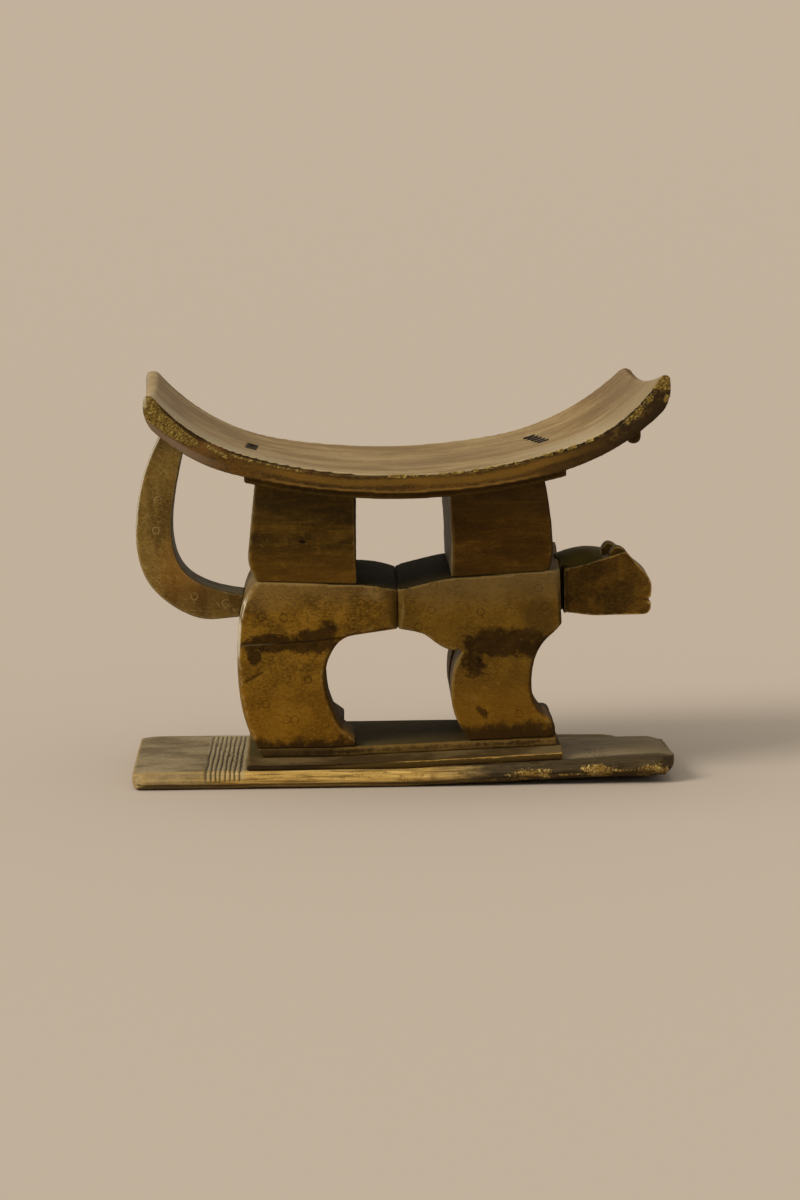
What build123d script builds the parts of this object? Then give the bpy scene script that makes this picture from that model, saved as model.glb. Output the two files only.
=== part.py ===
from build123d import *
from collections import namedtuple
from math import asin, cos, sin, sqrt
import os

os.makedirs("parts", exist_ok=True)

# An Ashanti stool carried by a standing leopard, carved from one log. The members below are
# the ones a carver lays out on the log; each is a closed solid that meets its neighbours
# face to face. X runs from the tail to the head, Y from the animal's right side to its left,
# Z up. The origin is the middle of the base board's underside. Millimetres.

# base board and the two steps on it
board_length = 564
board_depth = 245
board_level = 17.5
board_edge = board_depth / 2
board_tail, board_head = -board_length / 2, board_length / 2
lower_step_rear, lower_step_front = -163, 166
lower_step_edge = 110
lower_step_lip = 3.2
lower_step_height = 10
upper_step_rear, upper_step_front = -147, 160
upper_step_right, upper_step_left = -88, 84
upper_step_height = 9.5

# the wood has moved: towards the head the right side of the base stands higher, from the
# middle on in the board and from behind the middle in the steps, and the left edge is worn low
top_lift = 12
underside_lift = 9
steps_warp_start = -80
steps_lift = 13.7
wear_start = 70
left_edge_wear, left_end_wear = 0.5, 9.5

# animal
feet_half = 88
back_half = 104
feet_level = 37
back_level = 216
waist = (-4, 204)
waist_underside = 163
waist_pinch = 11
hip_height = 148
elbow_height = 136
leg_gap = 40
arris = 3.5

# blocks, rail and seat
block_half = 100
block_bevel = 2.5
rail_half = 112
rail_rear, rail_front = -161, 171
rail_thickness = 9
slot = (10, 9.5)
seat_half = 142
seat_underside = 309
seat_thickness = 20
seat_dish = 4
seat_radius = 690

# Lengthwise lines of the seat: a long arc with its lowest point at low_x, low_z that turns,
# at tail_turn and head_turn from there, into a tighter arc up each end.
SeatLine = namedtuple("SeatLine", "low_x low_z radius tail_turn tail_radius head_turn head_radius")
right_underside = SeatLine(0, seat_underside, seat_radius, 169, 191, 150, 247)
left_underside = SeatLine(-6, seat_underside + 0.5, seat_radius, 150, 205, 132, 262)
right_top = SeatLine(0, seat_underside + seat_thickness, 568, 160, 190, 183, 157)
left_top = SeatLine(-12, seat_underside + seat_thickness + 0.7, 669, 117, 219, 118, 268)

# tail, neck and head
tail_half = 27
neck_half = 36
cheek_rear_half, cheek_front_half = 46, 38
cheek_rear, muzzle = 171, 264
brow_x, right_brow_z, left_brow_z = 237, 234.5, 226.5
nape_rise = 229.5
chest = 166


def lift(x, y, amount, start=0.0):
    """Rise of a surface of the base at x, y; nothing behind start or over the left feet."""
    along = max(0.0, x - start) / (board_head - start)
    across = (upper_step_left - y) / (upper_step_left - upper_step_right)
    return amount * along * across


def board_top(x, y):
    """Point of the board's top in its cross section at x."""
    outside = max(0.0, y - wear_start) / (board_edge - wear_start)
    wear = left_edge_wear + (left_end_wear - left_edge_wear) * max(0.0, x) / board_head
    return (y, board_level + lift(x, y, top_lift) - wear * outside)


def seat_arc(x, radius=seat_radius):
    """Height of the seat's long underside arc above its lowest line."""
    return radius - sqrt(radius**2 - x**2)


# ------------------------------------------------------------------ base board and steps

with BuildPart() as base_board:
    for x in (board_tail, 0, board_head):
        with BuildSketch(Plane.YZ.offset(x)):
            with BuildLine():
                right_toe = (-board_edge + 8, lift(x, -board_edge, underside_lift * 0.8))
                right_brow = board_top(x, -board_edge + 12)
                right_mid = (-board_edge, (right_toe[1] + right_brow[1]) / 2 - 1)
                left_toe = (board_edge - 7, 0)
                left_brow = board_top(x, board_edge - 12)
                left_mid = (board_edge, left_brow[1] / 2)
                Line(left_toe, right_toe)
                ThreePointArc(right_toe, right_mid, right_brow)
                Polyline(right_brow, board_top(x, wear_start), left_brow)
                ThreePointArc(left_brow, left_mid, left_toe)
            make_face()
    loft(ruled=True)
    # plan view: the head end runs round into the left edge
    with BuildSketch(Plane.XY.offset(-1)) as plan:
        with BuildLine():
            Polyline(
                (200, board_edge),
                (board_tail, board_edge),
                (board_tail, -board_edge),
                (board_head, -board_edge),
                (board_head, 0),
            )
            Spline(
                (board_head, 0), (board_head - 13, 82), (board_head - 42, 109), (200, board_edge),
                tangents=[(0, 1), (-1, 0.1)],
            )
        make_face()
        fillet(plan.vertices().sort_by(Axis.X)[0:2], 14)
        fillet(plan.vertices().sort_by(Axis.Y)[0:2].sort_by(Axis.X)[-1], 22)
    extrude(amount=80, mode=Mode.INTERSECT)
base_board.part.label = "base_board"


def step_outline(x, profile):
    """Cross section at x of a slab on the board; what isn't on it moves with the steps' warp."""

    def point(y, above):
        if above == 0:
            return board_top(x, y)
        return (y, board_level + above + lift(x, y, steps_lift, steps_warp_start))

    with BuildSketch(Plane.YZ.offset(x)) as outline:
        with BuildLine():
            Polyline(*[point(y, above) for y, above in profile], close=True)
        make_face()
    return outline.sketch


with BuildPart() as lower_step:
    slope_start = upper_step_left + 4
    lower_profile = [
        (-lower_step_edge, 0),
        (wear_start, 0),
        (lower_step_edge, 0),
        (lower_step_edge, lower_step_lip),
        (slope_start, lower_step_height),
        (-slope_start, lower_step_height),
        (-lower_step_edge, lower_step_lip),
    ]
    lower_breaks = (lower_step_rear, steps_warp_start, 0, lower_step_front)
    loft([step_outline(x, lower_profile) for x in lower_breaks], ruled=True)
lower_step.part.label = "lower_step"

upper_step_top = lower_step_height + upper_step_height
with BuildPart() as upper_step:
    upper_profile = [
        (upper_step_right, lower_step_height),
        (upper_step_left, lower_step_height),
        (upper_step_left, upper_step_top),
        (upper_step_right, upper_step_top),
    ]
    upper_breaks = (upper_step_rear - 10, steps_warp_start, upper_step_front)
    loft([step_outline(x, upper_profile) for x in upper_breaks], ruled=True)
    # the rear end leans back in line with the heels
    heel_plane = Plane(origin=(upper_step_rear, 0, board_level + lower_step_height), z_dir=(10, 0, 5))
    split(bisect_by=heel_plane, keep=Keep.TOP)
upper_step.part.label = "upper_step"

# everything above the upper step, to trim the four feet to it
with BuildPart() as above_steps:
    open_profile = [
        (-board_edge, upper_step_top),
        (board_edge, upper_step_top),
        (board_edge, 260),
        (-board_edge, 260),
    ]
    open_breaks = (board_tail, steps_warp_start, board_head)
    loft([step_outline(x, open_profile) for x in open_breaks], ruled=True)


# ------------------------------------------------------------------ the animal

def front_view():
    """Front view of the body: the flanks lean in towards the feet."""
    lean = (back_half - feet_half) / (back_level - feet_level)
    top, bottom = back_level + 30, feet_level - 20
    top_half = back_half + 30 * lean
    bottom_half = feet_half - 20 * lean
    with BuildSketch(Plane.YZ) as view:
        with BuildLine():
            Polyline(
                (-bottom_half, bottom), (bottom_half, bottom), (top_half, top), (-top_half, top),
                close=True,
            )
        make_face()
    return view.sketch


def bevel_flanks(blank, spots):
    """Narrow bevel along the flank edges that pass nearest the given side-view points."""
    for x, z in spots:
        for side in (-1, 1):
            chamfer(blank.edges().sort_by_distance((x, side * back_half, z))[0], arris)


def waist_notches():
    """Plan view of the waist's notches: round on the hind side, a short bevel on the fore side."""
    flank = back_half + 1
    with BuildSketch(Plane.XY.offset(waist_underside - 30)) as notch:
        with BuildLine():
            ThreePointArc((-34, -flank), (-17, -flank + 3), (waist[0], -flank + waist_pinch))
            Polyline(
                (waist[0], -flank + waist_pinch),
                (waist[0] + 8, -flank),
                (waist[0] + 8, -flank - 20),
                (-34, -flank - 20),
                (-34, -flank),
            )
        make_face()
        mirror(about=Plane.XZ)
    return notch.sketch


def rear_half(ankle, toe):
    """Side view of rump and hind leg; ankle and toe differ between the two feet."""
    buried = feet_level - 15
    belly, rump = (-50, 156.5), (-150, 214.5)
    with BuildPart() as blank:
        with BuildSketch(Plane.XZ):
            with BuildLine():
                Line((waist[0], waist_underside), belly)
                Spline(belly, (-72, 141), (-80, 104), ankle, toe, tangents=[(-1, -0.15), (0.8, -0.6)])
                Polyline(toe, (toe[0], buried), (-145, buried))
                Spline(
                    (-145, buried), (-165, 70), (-171.5, 125), (-165, 190), rump,
                    tangents=[(-0.5, 1), (1, 0.9)],
                )
                Line(rump, (-45, 210.5))
                Spline((-45, 210.5), (-24, 208.5), waist, tangents=[(1, -0.03), (1, -0.25)])
                Line(waist, (waist[0], waist_underside))
            make_face()
        extrude(amount=board_edge, both=True)
        extrude(front_view(), amount=board_head, both=True, mode=Mode.INTERSECT)
        bevel_flanks(blank, [(-171, 125), (-80, 104)])
        extrude(waist_notches(), amount=100, mode=Mode.SUBTRACT)
    return blank.part


def fore_half(ankle, instep, toe):
    """Side view of chest and foreleg."""
    buried = feet_level - 15
    brisket, elbow = (chest - 8, 157), (64, 141)
    with BuildPart() as blank:
        with BuildSketch(Plane.XZ):
            with BuildLine():
                Line((waist[0], waist_underside), waist)
                Spline(waist, (22, 210.5), (52, 216.5), tangents=[(1, 0.25), (1, 0.1)])
                Polyline((52, 216.5), (chest + 10, 222.6), (chest + 10, 177.3), brisket)
                Spline(
                    brisket, (142, 139), (134.5, 103), ankle, instep, toe,
                    tangents=[(-1, -0.75), (0.3, -1)],
                )
                Polyline(toe, (toe[0], buried), (84, buried))
                Spline((84, buried), (52, 80), (52, 108), elbow, tangents=[(-0.7, 1), (0.6, 1)])
                Spline(
                    elbow, (52, 140), (32, 150.5), (waist[0], waist_underside),
                    tangents=[(-1, -0.1), (-1, 0.15)],
                )
            make_face()
        extrude(amount=board_edge, both=True)
        # the left shoulder stands higher and further forward than the right one
        with BuildSketch(Plane.YZ.offset(chest - 16)):
            Polygon((-110, 215), (110, 215), (110, 227.5), (-110, 222), align=None)
        extrude(amount=26)
        extrude(front_view(), amount=board_head, both=True, mode=Mode.INTERSECT)
        chest_face = Plane(origin=(chest, -back_half, 166), z_dir=(28, -0.87, 1))
        split(bisect_by=chest_face, keep=Keep.BOTTOM)
        bevel_flanks(blank, [(chest, 190), (134.5, 103)])
        extrude(waist_notches(), amount=100, mode=Mode.SUBTRACT)
    return blank.part


rear_right = rear_half(ankle=(-64.5, 60), toe=(-49, 47))
rear_left = rear_half(ankle=(-73, 59), toe=(-61, 50))
fore_right = fore_half(ankle=(139, 80), instep=(148, 68.5), toe=(159, 56))
fore_left = fore_half(ankle=(138, 72), instep=(149, 54), toe=(161, 46))

with BuildPart() as hindquarters:
    add(rear_right)
    split(bisect_by=Plane.XY.offset(hip_height), keep=Keep.TOP)
hindquarters.part.label = "hindquarters"

with BuildPart() as forequarters:
    add(fore_right)
    split(bisect_by=Plane.XY.offset(elbow_height), keep=Keep.TOP)
forequarters.part.label = "forequarters"

right_inside = Plane.XZ.offset(leg_gap / 2)
left_inside = Plane.XZ.offset(-leg_gap / 2)

with BuildPart() as hind_leg_right:
    add(rear_right)
    split(bisect_by=Plane.XY.offset(hip_height), keep=Keep.BOTTOM)
    split(bisect_by=right_inside, keep=Keep.TOP)
    add(above_steps.part, mode=Mode.INTERSECT)
hind_leg_right.part.label = "hind_leg_right"

with BuildPart() as hind_leg_left:
    add(rear_left)
    split(bisect_by=Plane.XY.offset(hip_height), keep=Keep.BOTTOM)
    split(bisect_by=left_inside, keep=Keep.BOTTOM)
    add(above_steps.part, mode=Mode.INTERSECT)
hind_leg_left.part.label = "hind_leg_left"

with BuildPart() as foreleg_right:
    add(fore_right)
    split(bisect_by=Plane.XY.offset(elbow_height), keep=Keep.BOTTOM)
    split(bisect_by=right_inside, keep=Keep.TOP)
    add(above_steps.part, mode=Mode.INTERSECT)
foreleg_right.part.label = "foreleg_right"

with BuildPart() as foreleg_left:
    add(fore_left)
    split(bisect_by=Plane.XY.offset(elbow_height), keep=Keep.BOTTOM)
    split(bisect_by=left_inside, keep=Keep.BOTTOM)
    add(above_steps.part, mode=Mode.INTERSECT)
foreleg_left.part.label = "foreleg_left"


# ------------------------------------------------------------------ seat, rail and blocks

def midway(right, left, sink=0):
    """The line halfway between two of the seat's lines, sunk by an even amount."""
    line = SeatLine(*[(one + other) / 2 for one, other in zip(right, left)])
    return line._replace(
        low_z=line.low_z - sink,
        radius=line.radius + sink,
        tail_radius=line.tail_radius + sink,
        head_radius=line.head_radius + sink,
    )


def arc_points(line, tail_end, head_end):
    """Seven points for a seat line's three arcs, from its tail end to its head end."""

    def wing(side, turn, end_radius, end_x):
        tilt = asin(turn / line.radius)
        centre_x = line.low_x + side * sin(tilt) * (line.radius - end_radius)
        centre_z = line.low_z + line.radius - cos(tilt) * (line.radius - end_radius)
        end_tilt = asin(abs(end_x - centre_x) / end_radius)
        swings = (tilt, (tilt + end_tilt) / 2, end_tilt)
        return [(centre_x + side * end_radius * sin(s), centre_z - end_radius * cos(s)) for s in swings]

    tail = wing(-1, line.tail_turn, line.tail_radius, tail_end)
    head = wing(1, line.head_turn, line.head_radius, head_end)
    return [*reversed(tail), (line.low_x, line.low_z), *head]


def seat_section(y, top, underside, tail_end, head_end, shoulder):
    """Lengthwise section of the seat; its ends are rounded over from `shoulder` back."""
    upper = arc_points(top, tail_end + shoulder, head_end - shoulder)
    lower = arc_points(underside, tail_end + 8, head_end - 8)
    with BuildSketch(Plane.XZ.offset(-y)) as section:
        with BuildLine():
            for points in (upper, lower):
                ThreePointArc(*points[0:3])
                ThreePointArc(*points[2:5])
                ThreePointArc(*points[4:7])
            tail_tip = (tail_end + 1, upper[0], lower[0], tail_end)
            head_tip = (head_end - 1, upper[-1], lower[-1], head_end)
            for brow_x, high, low, end_x in (tail_tip, head_tip):
                brow = (brow_x, high[1])
                ThreePointArc(high, ((high[0] + brow_x) / 2, high[1] + 2.5), brow)
                ThreePointArc(brow, (end_x, (high[1] + low[1]) / 2 + 3), low)
        make_face()
    return section.sketch


def slot_ladders():
    """Plan view of the two ladders of slots pierced through the seat and its rail."""
    with BuildSketch(Plane.XY.offset(seat_underside - 30)) as slots:
        for step in range(4):
            with Locations((-154 - step * 0.6, 38 - step * 15)):
                Rectangle(*slot)
        for step in range(5):
            with Locations((141 + step * 3, 72 - step * 16)):
                Rectangle(*slot)
    return slots.sketch


# dished across, and carved a little askew: both ends lie nearer the tail on the left side
with BuildPart() as seat:
    middle_top = midway(right_top, left_top, sink=seat_dish)
    middle_underside = midway(right_underside, left_underside)
    right_side = seat_section(-seat_half, right_top, right_underside, -262.3, 277, shoulder=11)
    middle = seat_section(0, middle_top, middle_underside, -265, 264, shoulder=12.5)
    left_side = seat_section(seat_half, left_top, left_underside, -270.4, 256, shoulder=14)
    loft([right_side, middle, left_side])


def under_seat_band(low, high):
    """Outline from an arc that runs along under the seat up to a level line."""
    with BuildSketch(Plane.XZ) as band:
        with BuildLine():
            low_rear = (rail_rear, seat_underside + low + seat_arc(rail_rear))
            low_front = (rail_front, seat_underside + low + seat_arc(rail_front))
            ThreePointArc(low_rear, (0, seat_underside + low), low_front)
            Polyline(low_front, (rail_front, high), (rail_rear, high), low_rear)
        make_face()
    return band.sketch


with BuildPart() as seat_rail:
    extrude(under_seat_band(-rail_thickness, seat_underside + 60), amount=rail_half, both=True)
    extrude(under_seat_band(8, seat_underside + 70), amount=rail_half + 5, both=True, mode=Mode.SUBTRACT)
    add(seat.part, mode=Mode.SUBTRACT)
    extrude(slot_ladders(), amount=90, mode=Mode.SUBTRACT)
seat_rail.part.label = "seat_rail"

with seat:
    extrude(slot_ladders(), amount=90, mode=Mode.SUBTRACT)
seat.part.label = "seat"

# room taken by the rail and seat, to trim the two blocks
with BuildPart() as under_seat_space:
    extrude(under_seat_band(-rail_thickness, seat_underside + 60), amount=rail_half + 5, both=True)


def rear_block_view(y, front_top):
    """Side view of the block on the rump; its front leans."""
    with BuildSketch(Plane.XZ.offset(-y)) as view:
        with BuildLine():
            Polyline((-148, 213), (-148, 200), (-46, 200), (front_top, 330), (-148.5, 330))
            ThreePointArc((-148.5, 330), (-154, 285), (-158.5, 240))
            ThreePointArc((-158.5, 240), (-155.5, 225), (-148, 213))
        make_face()
    return view.sketch


with BuildPart() as rear_block:
    loft([rear_block_view(-block_half, -48.5), rear_block_view(block_half, -44.5)], ruled=True)
    sides = rear_block.faces().sort_by(Axis.Y)
    for side in (sides[0], sides[-1]):
        chamfer(side.edges().filter_by(GeomType.CIRCLE), block_bevel)
    add(under_seat_space.part, mode=Mode.SUBTRACT)
    add(hindquarters.part, mode=Mode.SUBTRACT)
rear_block.part.label = "rear_block"


def front_block_view(y, rear_foot, rear_middle, rear_top):
    """Side view of the block on the shoulders; its front bulges."""
    with BuildSketch(Plane.XZ.offset(-y)) as view:
        with BuildLine():
            rear = [(rear_foot, 205), (rear_middle, 250), (rear_top, 330)]
            Polyline((153, 221), (153, 205), *rear, (146.5, 330))
            ThreePointArc((146.5, 330), (154, 290), (157.5, 248))
            ThreePointArc((157.5, 248), (156.5, 234), (153, 221))
        make_face()
    return view.sketch


with BuildPart() as front_block:
    loft(
        [front_block_view(-block_half, 52, 53, 51), front_block_view(block_half, 50, 49, 44.5)],
        ruled=True,
    )
    sides = front_block.faces().sort_by(Axis.Y)
    for side in (sides[0], sides[-1]):
        chamfer(side.edges().filter_by(GeomType.CIRCLE), block_bevel)
    add(under_seat_space.part, mode=Mode.SUBTRACT)
    add(forequarters.part, mode=Mode.SUBTRACT)
front_block.part.label = "front_block"

with BuildPart() as seat_lug:
    with BuildSketch(Plane.XZ):
        with BuildLine():
            Line((239.5, 376), (239.5, 351))
            ThreePointArc((239.5, 351), (247.5, 344), (255, 352))
            Polyline((255, 352), (255, 389), (239.5, 376))
        make_face()
    extrude(amount=13, both=True)
    add(seat.part, mode=Mode.SUBTRACT)
seat_lug.part.label = "seat_lug"


# ------------------------------------------------------------------ tail, neck, head, ears

with BuildPart() as tail:
    with BuildSketch(Plane.XZ):
        with BuildLine():
            Spline(
                (-240, 382), (-262, 336), (-277, 266), (-262, 201), (-217, 168.5), (-150, 169),
                tangents=[(-0.45, -1), (1, 0.05)],
            )
            Line((-150, 169), (-150, 190))
            Spline(
                (-150, 190), (-188, 196), (-227, 217), (-239.5, 260), (-232, 318), (-219, 370),
                tangents=[(-1, 0.12), (0.28, 1)],
            )
            Line((-219, 370), (-240, 382))
        make_face()
    extrude(amount=tail_half, both=True)
    add(seat.part, mode=Mode.SUBTRACT)
    add(hindquarters.part, mode=Mode.SUBTRACT)
tail.part.label = "tail"


def neck_section(x, top):
    """Flat-sided, round-topped section of the neck."""
    with BuildSketch(Plane.YZ.offset(x)) as section:
        with BuildLine():
            Polyline((-neck_half, 219), (-neck_half, 174), (neck_half, 174), (neck_half, 219))
            ThreePointArc((neck_half, 219), (0, top), (-neck_half, 219))
        make_face()
    return section.sketch


with BuildPart() as neck:
    loft([neck_section(chest - 3, 226.5), neck_section(cheek_rear, nape_rise)])
    add(forequarters.part, mode=Mode.SUBTRACT)
neck.part.label = "neck"


def head_view(y, brow_z):
    """Side view of the head from the cheeks to the muzzle, with the mouth's notch."""
    low = brow_z - right_brow_z
    with BuildSketch(Plane.XZ.offset(-y)) as view:
        with BuildLine():
            brow = (brow_x, brow_z)
            Spline((cheek_rear, 217 + low), (206, 225 + low), brow, tangents=[(1, 0.1), (1, 0.3)])
            Spline(brow, (250, 219 + low / 2), (261, 205), (muzzle, 193), tangents=[(0.6, -0.7), (0, -1)])
            Polyline((muzzle, 193), (263, 185.5), (260.5, 182), (263, 179), (263, 173))
            ThreePointArc((263, 173), (260.5, 168.5), (254, 166.5))
            Line((254, 166.5), (209, 166.5))
            Spline((209, 166.5), (188, 168.5), (cheek_rear, 171), tangents=[(-1, 0), (-1, 0.15)])
            Line((cheek_rear, 171), (cheek_rear, 217 + low))
        make_face()
    return view.sketch


with BuildPart() as head:
    # the flat top falls towards the left brow
    right_view = head_view(-cheek_rear_half, right_brow_z)
    left_view = head_view(cheek_rear_half, left_brow_z)
    loft([right_view, left_view], ruled=True)
    with BuildSketch(Plane.XY.offset(160)):
        with BuildLine():
            Polyline(
                (cheek_rear, -cheek_rear_half),
                (muzzle, -cheek_front_half),
                (muzzle, cheek_front_half),
                (cheek_rear, cheek_rear_half),
                close=True,
            )
        make_face()
    extrude(amount=90, mode=Mode.INTERSECT)
    # nape: the neck's round top runs on to the ears
    loft([neck_section(cheek_rear, nape_rise), neck_section(192, 234.5), neck_section(213, 233)])
head.part.label = "head"


def ear_outline(side, crest_x, crest_z):
    """Small rounded ear at the back of the brow, with its foot inside the head."""
    offsets = [(-8.5, -12), (-5.5, -4), (0, 0), (6.5, -2), (12.5, -9)]
    rim = [(crest_x + dx, crest_z + dz) for dx, dz in offsets]
    with BuildSketch(Plane.XZ.offset(-side * 29)) as outline:
        with BuildLine():
            Spline(*rim, tangents=[(0.2, 1), (0.6, -1)])
            Polyline(rim[-1], (rim[-1][0], 216), (rim[0][0], 216), rim[0])
        make_face()
    return outline.sketch


with BuildPart() as ear_right:
    extrude(ear_outline(-1, crest_x=227, crest_z=238.7), amount=8, both=True)
    add(head.part, mode=Mode.SUBTRACT)
ear_right.part.label = "ear_right"

with BuildPart() as ear_left:
    extrude(ear_outline(1, crest_x=221.5, crest_z=236), amount=8, both=True)
    add(head.part, mode=Mode.SUBTRACT)
ear_left.part.label = "ear_left"

members = [
    base_board, lower_step, upper_step,
    hind_leg_right, hind_leg_left, foreleg_right, foreleg_left,
    hindquarters, forequarters, neck, head, ear_right, ear_left, tail,
    rear_block, front_block, seat_rail, seat_lug, seat,
]
for member in members:
    export_step(member.part, f"parts/{member.part.label}.step")
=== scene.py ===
from math import cos, radians, sin

import bmesh
import bpy
import numpy as np
from mathutils import Matrix, Vector


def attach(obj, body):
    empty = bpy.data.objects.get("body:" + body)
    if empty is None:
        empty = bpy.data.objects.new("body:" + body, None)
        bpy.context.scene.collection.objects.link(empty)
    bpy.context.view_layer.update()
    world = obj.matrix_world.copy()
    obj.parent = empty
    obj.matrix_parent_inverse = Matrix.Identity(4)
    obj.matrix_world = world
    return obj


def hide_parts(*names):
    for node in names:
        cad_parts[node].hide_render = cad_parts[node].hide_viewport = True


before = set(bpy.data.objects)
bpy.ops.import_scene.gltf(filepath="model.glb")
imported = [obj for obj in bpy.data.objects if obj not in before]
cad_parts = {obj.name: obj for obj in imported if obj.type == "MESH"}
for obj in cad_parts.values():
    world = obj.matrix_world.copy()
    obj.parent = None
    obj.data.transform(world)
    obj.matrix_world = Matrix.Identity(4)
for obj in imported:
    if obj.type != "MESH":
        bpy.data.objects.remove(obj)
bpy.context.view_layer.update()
scene = bpy.context.scene
print("frame loaded:", len(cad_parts), "members")

mm = 0.001
nearSide, farSide = -1, 1  # the leopard's right side faces -Y


def scramble(cells, seed):
    # a number from 0 to 1 for each whole-numbered cell
    mixed = cells[:, 0] * 73856093 ^ cells[:, 1] * 19349663 ^ cells[:, 2] * 83492791 ^ seed * 2654435
    mixed = (mixed ^ mixed >> 13) * 1274126177
    return ((mixed ^ mixed >> 16) & 0xFFFFFF) / 0xFFFFFF


def softNoise(points, size, seed):
    # smooth noise from -1 to 1; points and size in millimetres
    spots = points / size
    corner = np.floor(spots).astype(np.int64)
    part = spots - corner
    part = part * part * (3 - 2 * part)
    total = np.zeros(len(points))
    for step in np.ndindex(2, 2, 2):
        share = np.prod(np.where(step, part, 1 - part), axis=1)
        total += share * scramble(corner + step, seed)
    return 2 * total - 1


def adzeCuts(points, size, depth, seed):
    # shallow scoops with low ridges between them
    spots = points / size
    home = np.floor(spots).astype(np.int64)
    nearest = np.full(len(points), 9.0)
    for step in np.ndindex(3, 3, 3):
        cell = home + np.array(step) - 1
        middle = cell + 0.5
        for axis in range(3):
            middle[:, axis] += 0.7 * (scramble(cell, seed + 11 * axis) - 0.5)
        nearest = np.minimum(nearest, ((spots - middle) ** 2).sum(axis=1))
    return depth * (nearest - 0.3)


def ramp(value, low, high):
    # 0 below low, 1 above high, smooth between
    part = np.clip((value - low) / (high - low), 0, 1)
    return part * part * (3 - 2 * part)


def ringLines(points, normals, marks, side, width=0.62):
    # punched circles on a flank: x, z and radius of each; 1 on the line
    line = np.zeros(len(points))
    facing = ramp(side * normals[:, 1], 0.4, 0.8)
    for x, z, radius in marks:
        away = np.hypot(points[:, 0] - x, points[:, 2] - z) - radius
        line = np.maximum(line, facing * np.exp(-(away / width) ** 2))
    return line * ramp(softNoise(points, 4.5, 17), -0.75, -0.05)


def nearMarks(points, normals, marks, side, margin=2.5):
    wanted = np.zeros(len(points), bool)
    for x, z, radius in marks:
        wanted |= np.hypot(points[:, 0] - x, points[:, 2] - z) < radius + margin
    return wanted & (side * normals[:, 1] > 0.4)


def meshPoints(mesh):
    # places in millimetres and normals of all points
    points = np.empty(len(mesh.vertices) * 3)
    mesh.vertices.foreach_get("co", points)
    normals = np.empty(len(mesh.vertices) * 3)
    mesh.vertices.foreach_get("normal", normals)
    return points.reshape(-1, 3) / mm, normals.reshape(-1, 3)


def placePoints(mesh, points):
    mesh.vertices.foreach_set("co", (points * mm).ravel())
    mesh.update()


def carveBlank(pieceName, members, voxel, softening):
    # the members' solids joined into one skin with slightly rounded edges
    joined = bmesh.new()
    for member in members:
        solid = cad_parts[member]
        copied = solid.data.copy()
        copied.transform(solid.matrix_world)
        joined.from_mesh(copied)
        bpy.data.meshes.remove(copied)
    mesh = bpy.data.meshes.new(pieceName)
    joined.to_mesh(mesh)
    joined.free()
    mesh.materials.clear()
    piece = bpy.data.objects.new(pieceName, mesh)
    scene.collection.objects.link(piece)
    skin = piece.modifiers.new("skin", "REMESH")
    skin.mode = "VOXEL"
    skin.voxel_size = voxel * mm
    soften = piece.modifiers.new("soften", "SMOOTH")
    soften.factor = 0.5
    soften.iterations = softening
    shaped = bpy.data.meshes.new_from_object(piece.evaluated_get(bpy.context.evaluated_depsgraph_get()))
    piece.modifiers.clear()
    piece.data = shaped
    bpy.data.meshes.remove(mesh)
    shaped.name = pieceName
    return piece


def refine(piece, wanted, rounds):
    # halve the edges where wanted(points, normals) is true
    for _ in range(rounds):
        points, normals = meshPoints(piece.data)
        chosen = wanted(points, normals)
        work = bmesh.new()
        work.from_mesh(piece.data)
        edges = [e for e in work.edges if chosen[e.verts[0].index] and chosen[e.verts[1].index]]
        bmesh.ops.subdivide_edges(work, edges=edges, cuts=1, use_grid_fill=True)
        work.to_mesh(piece.data)
        work.free()


def carve(piece, depthAt):
    # move every point along its normal by depthAt(points, normals), in millimetres
    points, normals = meshPoints(piece.data)
    placePoints(piece.data, points + normals * depthAt(points, normals)[:, None])


def neighbourMean(values, edges, count):
    total = np.zeros_like(values)
    for axis in range(values.shape[1]):
        total[:, axis] = np.bincount(edges[:, 0], values[edges[:, 1], axis], len(values))
        total[:, axis] += np.bincount(edges[:, 1], values[edges[:, 0], axis], len(values))
    return total / count[:, None]


def paint(piece, title, values):
    # a number at every point of the mesh, for the woods to read
    layer = piece.data.attributes.new(title, "FLOAT", "POINT")
    layer.data.foreach_set("value", values)


def recordEdges(piece, rings=3, reach=0.3):
    # 1 on a sharp edge and in a deep crease, 0 on the flat
    mesh = piece.data
    points, normals = meshPoints(mesh)
    edges = np.empty(len(mesh.edges) * 2, np.int64)
    mesh.edges.foreach_get("vertices", edges)
    edges = edges.reshape(-1, 2)
    count = np.bincount(edges.ravel(), minlength=len(points)).astype(float)
    mean = points
    for _ in range(rings):
        mean = neighbourMean(mean, edges, count)
    bulge = neighbourMean(((points - mean) * normals).sum(axis=1)[:, None], edges, count)[:, 0]
    paint(piece, "edge", np.clip(bulge / reach, 0, 1))
    paint(piece, "crease", np.clip(-bulge / reach, 0, 1))


def finishPiece(piece, members, wood):
    recordEdges(piece)
    mesh = piece.data
    mesh.polygons.foreach_set("use_smooth", np.ones(len(mesh.polygons), bool))
    mesh.materials.append(wood)
    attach(piece, "root")
    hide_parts(*members)
    triangles = sum(len(face.vertices) - 2 for face in mesh.polygons)
    print(piece.name, "carved,", triangles, "triangles")


def tint(red, green, blue):
    # a colour as it is seen, 0 to 255, in the linear light that sockets take
    seen = (red / 255, green / 255, blue / 255)
    linear = [part / 12.92 if part <= 0.04045 else ((part + 0.055) / 1.055) ** 2.4 for part in seen]
    return (*linear, 1.0)


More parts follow.
